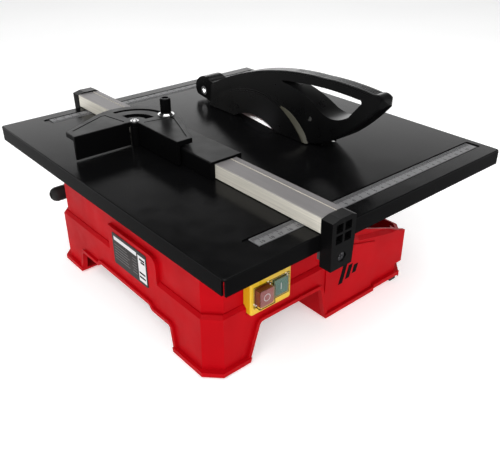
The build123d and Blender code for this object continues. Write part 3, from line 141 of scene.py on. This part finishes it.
def metal(name, colour, rough, stretch=(1, 1, 1), grain=700.0, bump=0.08, metallic=1.0, top=None):
    """Bare metal with brushing along the axis that is stretched least.

    top is the colour of faces that look up where it differs, painted shade that makes the top darker than the
    sides.
    """
    s = Shader(name)
    lines = s.noise(grain, 3.0, stretch)
    colour_out = s.ramp(lines, [(0.3, tint(colour, 0.86)), (0.7, tint(colour, 1.08))])
    # painted shade: faces that look up take the darker top colour
    if top:
        painted_top_tone = s.tree.nodes.new("ShaderNodeMix")
        painted_top_tone.data_type = "RGBA"
        s.link(s.facing_up(), painted_top_tone.inputs["Factor"])
        s.link(colour_out, painted_top_tone.inputs["A"])
        s.link(s.ramp(lines, [(0.3, tint(top, 0.86)), (0.7, tint(top, 1.08))]), painted_top_tone.inputs["B"])
        colour_out = painted_top_tone.outputs["Result"]
    s.link(colour_out, s.bsdf.inputs["Base Color"])
    s.value("Metallic", metallic)
    s.link(s.spread(lines, rough * 0.8, rough * 1.25), s.bsdf.inputs["Roughness"])
    s.bump(lines, bump, 0.0001)
    return s.material


RED = (0.45, 0.0018, 0.0058)
NEAR_BLACK = (0.0028, 0.0028, 0.003)
ALONG_X = (0.03, 1, 1)
ALONG_Y = (1, 0.02, 1)
ACROSS_X = (6, 1, 1)

materials = {
    "red_plastic": plastic("red_plastic", RED, 0.45, grain=1100.0, bump=0.10, spec=0.035),
    # black_plastic, guard_black and table_enamel carry painted shade: their upright faces get less sheen than
    # their top faces
    "black_plastic": plastic("black_plastic", NEAR_BLACK, 0.36, grain=1300.0, spec=0.28, flank=0.02),
    "guard_black": plastic("guard_black", (0.0024, 0.0024, 0.0026), 0.30, grain=800.0, bump=0.03,
                           spec=0.28, flank=0.06),
    "table_enamel": plastic("table_enamel", NEAR_BLACK, 0.20, grain=420.0, bump=0.05, spec=0.15,
                            flank=0.01),
    # painted shade: the rail's top is coloured much darker than its sides
    "rail_aluminium": metal("rail_aluminium", (0.86, 0.82, 0.72), 0.42, ALONG_Y, metallic=0.15,
                            top=(0.20, 0.19, 0.19)),
    "ruler_aluminium": metal("ruler_aluminium", (0.19, 0.19, 0.195), 0.45, ALONG_X, metallic=0.35),
    "bright_steel": metal("bright_steel", (0.62, 0.62, 0.61), 0.25),
    "zinc_steel": metal("zinc_steel", (0.60, 0.60, 0.58), 0.35),
    "chrome": metal("chrome", (0.82, 0.82, 0.82), 0.14),
    "blade_steel": metal("blade_steel", (0.80, 0.80, 0.80), 0.38, metallic=0.35),
    "motor_cast": metal("motor_cast", (0.45, 0.45, 0.46), 0.5),
    "motor_paint": plastic("motor_paint", (0.03, 0.03, 0.034), 0.5),
    "core_steel": metal("core_steel", (0.33, 0.32, 0.31), 0.5, ACROSS_X),
    "yellow_plastic": plastic("yellow_plastic", (0.74, 0.47, 0.012), 0.3, bump=0.08, spec=0.4),
    "stop_red": plastic("stop_red", (0.30, 0.030, 0.022), 0.35),
    "start_green": plastic("start_green", (0.010, 0.14, 0.085), 0.35),
    "feet_rubber": plastic("feet_rubber", (0.012, 0.012, 0.012), 0.7, grain=1500.0, bump=0.3, spec=0.3),
    "plate_film": plastic("plate_film", (0.008, 0.008, 0.008), 0.30, grain=700.0, bump=0.05, spec=0.10),
}
ink = plastic("scale_ink", (0.004, 0.004, 0.0045), 0.6, grain=2000.0, bump=0.02, spec=0.02)
print_white = plastic("print_white", (0.70, 0.70, 0.70), 0.4, grain=1500.0, bump=0.03, spec=0.4,
                      variation=0.04)
print_grey = plastic("print_grey", (0.09, 0.09, 0.09), 0.4, grain=1500.0, bump=0.03, spec=0.4,
                     variation=0.05)
# painted highlight: a lighter copy of the guard's black for the lit chamfer band on the guard
painted_band_highlight = plastic("painted_band_highlight", (0.045, 0.043, 0.030), 0.38, bump=0.08, spec=0.35)


def clear_vinyl(name):
    """Soft clear plastic, slightly uneven."""
    s = Shader(name)
    tone = s.ramp(s.noise(40.0), [(0.3, (0.9, 0.9, 0.9)), (0.7, (1.0, 1.0, 1.0))])
    s.link(tone, s.bsdf.inputs["Base Color"])
    s.value("Roughness", 0.08)
    s.value("Transmission Weight", 1.0)
    s.value("IOR", 1.25)
    s.bump(s.noise(160.0), 0.1, 0.0003)
    return s.material


materials["clear_boot"] = clear_vinyl("clear_boot")

slots = {entry["node"]: entry["material_slot"] for entry in frame["record"]["subparts"]}
for node_name, node_object in frame["nodes"].items():
    node_object.data.materials.clear()
    node_object.data.materials.append(materials[slots[node_name]])


def soften(names, width, segments=2, angle=32.0):
    """Break the sharp edges of CAD nodes with a small bevel."""
    for name in names:
        bevel = frame["nodes"][name].modifiers.new("edge_break", "BEVEL")
        bevel.width = width
        bevel.segments = segments
        bevel.limit_method = "ANGLE"
        bevel.angle_limit = math.radians(angle)
        bevel.harden_normals = False


soften(["base_housing"], 0.0008)
soften(["front_clamp", "rear_clamp", "guide_block"], 0.0005)
soften(["guide_head"], 0.0005)
soften(["switch_frame", "stop_button", "start_button"], 0.0006)
soften(["rubber_feet", "cord_gland", "fence_rail"], 0.0003)


# ---------------------------------------------------------------- printed and inlaid pieces
def new_piece(name, work_mesh, material, body):
    """Visible piece from a mesh in metres, with one material, which rides a body."""
    mesh = bpy.data.meshes.new(name)
    work_mesh.normal_update()
    work_mesh.to_mesh(mesh)
    work_mesh.free()
    piece = bpy.data.objects.new(name, mesh)
    bpy.context.scene.collection.objects.link(piece)
    piece.data.materials.append(material)
    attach(piece, body)
    return piece


def add_box(work_mesh, low, high):
    """Box between two corners in millimetres."""
    x0, y0, z0 = low
    x1, y1, z1 = high
    corners = [(x0, y0, z0), (x1, y0, z0), (x1, y1, z0), (x0, y1, z0),
               (x0, y0, z1), (x1, y0, z1), (x1, y1, z1), (x0, y1, z1)]
    verts = [work_mesh.verts.new(Vector(c) * MM) for c in corners]
    for quad in ((3, 2, 1, 0), (4, 5, 6, 7), (0, 1, 5, 4), (1, 2, 6, 5), (2, 3, 7, 6), (3, 0, 4, 7)):
        work_mesh.faces.new([verts[i] for i in quad])


def add_text(work_mesh, text, size, matrix, depth):
    """Flat digits standing a hair above a surface; size and depth in metres."""
    curve = bpy.data.curves.new("digits", "FONT")
    curve.body = text
    curve.size = size
    curve.align_x = "CENTER"
    curve.extrude = depth
    curve.resolution_u = 3
    holder = bpy.data.objects.new("digits", curve)
    bpy.context.scene.collection.objects.link(holder)
    bpy.context.view_layer.update()
    graph = bpy.context.evaluated_depsgraph_get()
    mesh = bpy.data.meshes.new_from_object(holder.evaluated_get(graph))
    mesh.transform(matrix)
    work_mesh.from_mesh(mesh)
    bpy.data.objects.remove(holder)
    bpy.data.curves.remove(curve)
    bpy.data.meshes.remove(mesh)


# the rulers count from the blade
ZERO_X = (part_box("diamond_blade")[0][0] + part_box("diamond_blade")[1][0]) / 2 / MM


# millimetre marks as (length, half width) for a centimetre, a half centimetre and a millimetre
CENTIMETRE_MARK = (7.0, 0.24)
HALF_MARK = (6.0, 0.20)
MILLIMETRE_MARK = (4.8, 0.20)
MARK_SINK = 0.02
MARK_RISE = 0.03
MARK_EDGE_GAP = 0.3
NUMBER_SIZE = 5.2
NUMBER_DEPTH = 0.02


def make_scale(name, node, side):
    """Millimetre divisions along the strip's inner edge and a number at each centimetre."""
    low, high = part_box(node)
    x0, x1 = low[0] / MM, high[0] / MM
    y0, y1 = low[1] / MM, high[1] / MM
    top = high[2] / MM
    inner = y1 if side < 0 else y0
    work = bmesh.new()
    first = math.ceil(x0 + 1 - ZERO_X)
    last = math.floor(x1 - 1 - ZERO_X)
    for step in range(first, last + 1):
        if step % 10 == 0:
            reach, half = CENTIMETRE_MARK
        elif step % 5 == 0:
            reach, half = HALF_MARK
        else:
            reach, half = MILLIMETRE_MARK
        x = ZERO_X + step
        ends = sorted((inner + side * MARK_EDGE_GAP, inner + side * reach))
        add_box(work, (x - half, ends[0], top - MARK_SINK), (x + half, ends[1], top + MARK_RISE))
        if step % 10 == 0 and x0 + 4 < x < x1 - 4:
            number = str(abs(step) // 10)
            base = y0 + 1.2 if side < 0 else y1 - 5.0
            place = Matrix.Translation(Vector((x, base, top + 0.01)) * MM)
            add_text(work, number, NUMBER_SIZE * MM, place, NUMBER_DEPTH * MM)
    new_piece(name, work, ink, "table")


make_scale("front_scale", "front_ruler", -1)
make_scale("rear_scale", "rear_ruler", 1)


PRINT_RISE = 0.05
BAR_RISE = 0.04
BAR_COUNT = 6
BAR_STEP = 3.4
WHITE_BLOCK_WIDTH = 17.0


def make_plate_print():
    """Plain blocks and bars in place of the rating plate's print."""
    low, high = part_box("rating_plate")
    x = low[0] / MM
    y0, y1 = low[1] / MM, high[1] / MM
    z0, z1 = low[2] / MM, high[2] / MM
    white = bmesh.new()
    grey = bmesh.new()
    bars = bmesh.new()
    # white block at the plate's front end, and a white header along the top of the rest
    block_y = y0 + WHITE_BLOCK_WIDTH
    add_box(white, (x - PRINT_RISE, y0 + 2.0, z0 + 3.0), (x + PRINT_RISE, block_y - 1.5, z1 - 4.5))
    add_box(white, (x - PRINT_RISE, block_y + 1.0, z1 - 8.0), (x + PRINT_RISE, y1 - 3.5, z1 - 3.5))
    # grey bars in two columns
    for row in range(BAR_COUNT):
        z = z1 - 13.0 - row * BAR_STEP
        rear_start = block_y + 20.0 - 2 * (row % 3)
        front_end = block_y + 9.0 + 1.5 * (row % 2)
        add_box(grey, (x - BAR_RISE, rear_start, z - 0.5), (x + BAR_RISE, y1 - 3.5, z + 0.3))
        add_box(grey, (x - BAR_RISE, block_y + 2.0, z - 0.5), (x + BAR_RISE, front_end, z + 0.3))
    # dark bars on the white block
    for z, reach in ((z1 - 8.5, 9.5), (z1 - 11.5, 7.0), (z0 + 13.0, 11.0), (z0 + 8.0, 11.0)):
        add_box(bars, (x - 0.09, y0 + 3.5, z - 1.1), (x - BAR_RISE, y0 + 3.5 + reach, z + 1.1))
    new_piece("plate_white", white, print_white, "base")
    new_piece("plate_grey", grey, print_grey, "base")
    new_piece("plate_bars", bars, ink, "base")


make_plate_print()


SIGN_SINK = 0.03
SIGN_RISE = 0.05
RING_INNER = 3.2
RING_OUTER = 4.0
RING_SIDES = 48
BAR_HALF_WIDTH = 0.45
BAR_HALF_HEIGHT = 3.6


def button_face(node):
    """Middle of a button's front face as X, Y, Z in millimetres."""
    low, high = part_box(node)
    return (low[0] + high[0]) / 2 / MM, low[1] / MM, (low[2] + high[2]) / 2 / MM


def make_button_signs():
    """Ring on the off button, bar on the on button."""
    x, y, z = button_face("stop_button")
    ring = bmesh.new()
    section = ((RING_OUTER, y + SIGN_SINK), (RING_OUTER, y - SIGN_RISE),
               (RING_INNER, y - SIGN_RISE), (RING_INNER, y + SIGN_SINK))
    loops = []
    for radius, depth in section:
        loop = []
        for k in range(RING_SIDES):
            angle = 2 * math.pi * k / RING_SIDES
            place = Vector((x + radius * math.cos(angle), depth, z + radius * math.sin(angle)))
            loop.append(ring.verts.new(place * MM))
        loops.append(loop)
    for a, b in ((0, 1), (1, 2), (2, 3), (3, 0)):
        for k in range(RING_SIDES):
            n = (k + 1) % RING_SIDES
            ring.faces.new((loops[a][k], loops[a][n], loops[b][n], loops[b][k]))
    new_piece("stop_sign", ring, print_white, "stop")
    x, y, z = button_face("start_button")
    bar = bmesh.new()
    add_box(bar, (x - BAR_HALF_WIDTH, y - SIGN_RISE, z - BAR_HALF_HEIGHT),
            (x + BAR_HALF_WIDTH, y + SIGN_SINK, z + BAR_HALF_HEIGHT))
    new_piece("start_sign", bar, print_white, "start")


make_button_signs()


# front panel of the tub behind the flange's edge, and the heights of the bars on it
FRONT_PANEL_DEPTH = 2.8
MARK_BARS = ((36.0, 58.0), (39.0, 55.0), (42.0, 52.0))
MARK_START_X = 9.0
MARK_PITCH = 10.5
MARK_WIDTH = 6.5
MARK_SLANT = 0.28
MARK_BAR_RISE = 0.12
MARK_BAR_SINK = 0.15


def make_front_mark():
    """Three slanted dark bars on the tub's front panel, in place of a name."""
    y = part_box("base_housing")[0][1] / MM + FRONT_PANEL_DEPTH
    work = bmesh.new()
    for k, (low_z, high_z) in enumerate(MARK_BARS):
        x = MARK_START_X + MARK_PITCH * k
        lean = MARK_SLANT * (high_z - low_z)
        corners = ((x, low_z), (x + MARK_WIDTH, low_z), (x + MARK_WIDTH + lean, high_z), (x + lean, high_z))
        front = []
        back = []
        for corner_x, corner_z in corners:
            front.append(work.verts.new(Vector((corner_x, y - MARK_BAR_RISE, corner_z)) * MM))
            back.append(work.verts.new(Vector((corner_x, y + MARK_BAR_SINK, corner_z)) * MM))
        work.faces.new(front)
        work.faces.new(back[::-1])
        for i in range(4):
            n = (i + 1) % 4
            work.faces.new((front[n], front[i], back[i], back[n]))
    new_piece("front_mark", work, ink, "base")


make_front_mark()


def curve_point(start, bend, end, t):
    """Point at share t of a quadratic curve from start to end, pulled towards bend."""
    a = (1 - t) ** 2
    b = 2 * t * (1 - t)
    c = t * t
    return a * start[0] + b * bend[0] + c * end[0], a * start[1] + b * bend[1] + c * end[1]


# flank of the guard: half width at the foot and loss per millimetre of height, of shell and dome
GUARD_FOOT_Z = 160.2
SHELL_HALF = (18.6, 10.8 / 75.8)
DOME_HALF = (22.0, 7.4 / 42.8)
DOME_CENTRE = (22.2, 74.8)
DOME_RADIUS = 120.5
DOME_CHAMFER = 5.0
DOME_DROP = 3.4
# edges of the painted highlight band as (Y, Z), and its section as (share of the width, rise off the flank)
PAINTED_BAND_REAR_EDGE = ((-17.7, 189.1), (-40.8, 179.2), (-58.2, 161.4))
PAINTED_BAND_FRONT_EDGE = ((-17.6, 190.3), (-45.0, 186.4), (-65.6, 161.6))
PAINTED_BAND_SECTION = ((0.0, -0.4), (0.1, 0.3), (0.3, 0.3), (0.5, 0.3), (0.7, 0.3), (0.9, 0.3), (1.0, -0.4))
PAINTED_BAND_STEPS = 36


def guard_flank(y, z):
    """Half width of the guard at a point of its side."""
    up = z - GUARD_FOOT_Z
    shell = SHELL_HALF[0] - SHELL_HALF[1] * up
    reach = math.hypot(y - DOME_CENTRE[0], z - DOME_CENTRE[1]) - DOME_RADIUS
    if reach > DOME_CHAMFER:
        return shell
    return max(shell, DOME_HALF[0] - DOME_HALF[1] * up - DOME_DROP * max(0.0, reach / DOME_CHAMFER))


def make_painted_guard_band():
    """Lighter band down the guard's round flank, a hairline above and broad at the bottom, on both sides: a
    painted highlight where the dome's chamfer catches the light.
    """
    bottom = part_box("guard_left_shell")[0][2] / MM
    for side, name in ((-1, "painted_band_left"), (1, "painted_band_right")):
        work = bmesh.new()
        rows = []
        for k in range(PAINTED_BAND_STEPS + 1):
            t = k / PAINTED_BAND_STEPS
            front = curve_point(*PAINTED_BAND_FRONT_EDGE, t)
            rear = curve_point(*PAINTED_BAND_REAR_EDGE, t)
            ring = []
            for share, rise in PAINTED_BAND_SECTION:
                y = rear[0] + (front[0] - rear[0]) * share
                z = max(rear[1] + (front[1] - rear[1]) * share, bottom + 0.3)
                ring.append(work.verts.new(Vector((ZERO_X + side * (guard_flank(y, z) + rise), y, z)) * MM))
            rows.append(ring)
        for k in range(PAINTED_BAND_STEPS):
            for j in range(len(PAINTED_BAND_SECTION)):
                n = (j + 1) % len(PAINTED_BAND_SECTION)
                work.faces.new((rows[k][j], rows[k + 1][j], rows[k + 1][n], rows[k][n]))
        work.faces.new(rows[0])
        work.faces.new(rows[-1][::-1])
        bmesh.ops.recalc_face_normals(work, faces=work.faces)
        new_piece(name, work, painted_band_highlight, "guard")


make_painted_guard_band()


# ---------------------------------------------------------------- stage, light, camera
FLOOR_GLOW = 0.40


def make_floor():
    """Large sheet of pale paper just under the feet, a little brighter than the light makes it."""
    bpy.ops.mesh.primitive_plane_add(size=30.0, location=(0, 0, -0.0002))
    floor = bpy.context.active_object
    floor.name = "floor"
    s = Shader("floor_paper")
    paper = s.ramp(s.noise(3.0), [(0.3, (0.86, 0.86, 0.86)), (0.7, (0.90, 0.90, 0.90))])
    s.link(paper, s.bsdf.inputs["Base Color"])
    s.value("Roughness", 0.9)
    s.value("Emission Color", (1, 1, 1, 1))
    s.value("Emission Strength", FLOOR_GLOW)
    floor.data.materials.append(s.material)


# sky: heading that counts as behind the saw, and its brightness from the horizon up
WORLD_HEADING = -50
LOW_SKY = (0.22, 2.2)
HIGH_SKY = (0.46, 0.035)
NEAR_SIDE_SHARE = 0.25


def make_world():
    """Dark above, bright low down, and brighter behind the saw than in front of it."""
    world = bpy.data.worlds.new("studio")
    bpy.context.scene.world = world
    world.use_nodes = True
    nodes = world.node_tree.nodes
    links = world.node_tree.links
    background = nodes["Background"]
    coords = nodes.new("ShaderNodeTexCoord")
    turned = nodes.new("ShaderNodeMapping")
    turned.inputs["Rotation"].default_value = (0, 0, math.radians(WORLD_HEADING))
    links.new(coords.outputs["Generated"], turned.inputs["Vector"])
    separate = nodes.new("ShaderNodeSeparateXYZ")
    links.new(turned.outputs["Vector"], separate.inputs["Vector"])
    height = nodes.new("ShaderNodeValToRGB")
    links.new(separate.outputs["Z"], height.inputs["Fac"])
    for element, (position, grey) in zip(height.color_ramp.elements, (LOW_SKY, HIGH_SKY)):
        element.position = position
        element.color = (grey, grey, grey, 1)
    away = nodes.new("ShaderNodeMapRange")
    away.inputs["From Min"].default_value = -0.2
    away.inputs["From Max"].default_value = 0.6
    away.inputs["To Min"].default_value = NEAR_SIDE_SHARE
    away.inputs["To Max"].default_value = 1.0
    links.new(separate.outputs["X"], away.inputs["Value"])
    links.new(away.outputs["Result"], background.inputs["Strength"])
    links.new(height.outputs["Color"], background.inputs["Color"])


def hang_lamp(light, place, target):
    """Put a light in the scene at place and turn it to target."""
    lamp = bpy.data.objects.new(light.name, light)
    bpy.context.scene.collection.objects.link(lamp)
    lamp.location = place
    direction = Vector(target) - Vector(place)
    lamp.rotation_euler = direction.to_track_quat("-Z", "Y").to_euler()


def area_light(name, place, size, power):
    """Soft box turned to the middle of the saw."""
    light = bpy.data.lights.new(name, "AREA")
    light.shape = "RECTANGLE"
    light.size = size[0]
    light.size_y = size[1]
    light.energy = power
    hang_lamp(light, place, SAW_MIDDLE)


def spot_light(name, place, target, cone, power):
    """Narrow lamp with a nearly sharp shadow."""
    light = bpy.data.lights.new(name, "SPOT")
    light.energy = power
    light.spot_size = math.radians(cone)
    light.spot_blend = 0.6
    light.shadow_soft_size = 0.01
    hang_lamp(light, place, target)


SAW_MIDDLE = (0, 0, 0.1)
CAMERA_PLACE = (-0.4200, -0.5078, 0.4233)
CAMERA_PITCH = 90 - 29.68
CAMERA_ROLL = 0.05
CAMERA_HEADING = -40.64
CAMERA_LENS = 45.63


def make_camera():
    """Camera over the saw's left front corner."""
    camera = bpy.data.cameras.new("camera")
    camera.lens = CAMERA_LENS
    camera.sensor_width = 36.0
    camera.clip_start = 0.01
    eye = bpy.data.objects.new("camera", camera)
    bpy.context.scene.collection.objects.link(eye)
    eye.location = CAMERA_PLACE
    eye.rotation_euler = (math.radians(CAMERA_PITCH), math.radians(CAMERA_ROLL), math.radians(CAMERA_HEADING))
    bpy.context.scene.camera = eye


make_floor()
make_world()
area_light("key", (-1.3, -0.9, 1.7), (1.4, 1.4), 36)
area_light("front", (-0.1, -1.9, 1.5), (1.4, 1.0), 14)
# on the blade's flank, through the arch of the guard
spot_light("flank", (-0.47, -0.52, 0.50), (0.050, 0.016, 0.160), 2.6, 90)
area_light("top", (0.3, 0.4, 2.4), (2.0, 2.0), 24)
make_camera()
bpy.context.scene.view_settings.view_transform = "Standard"
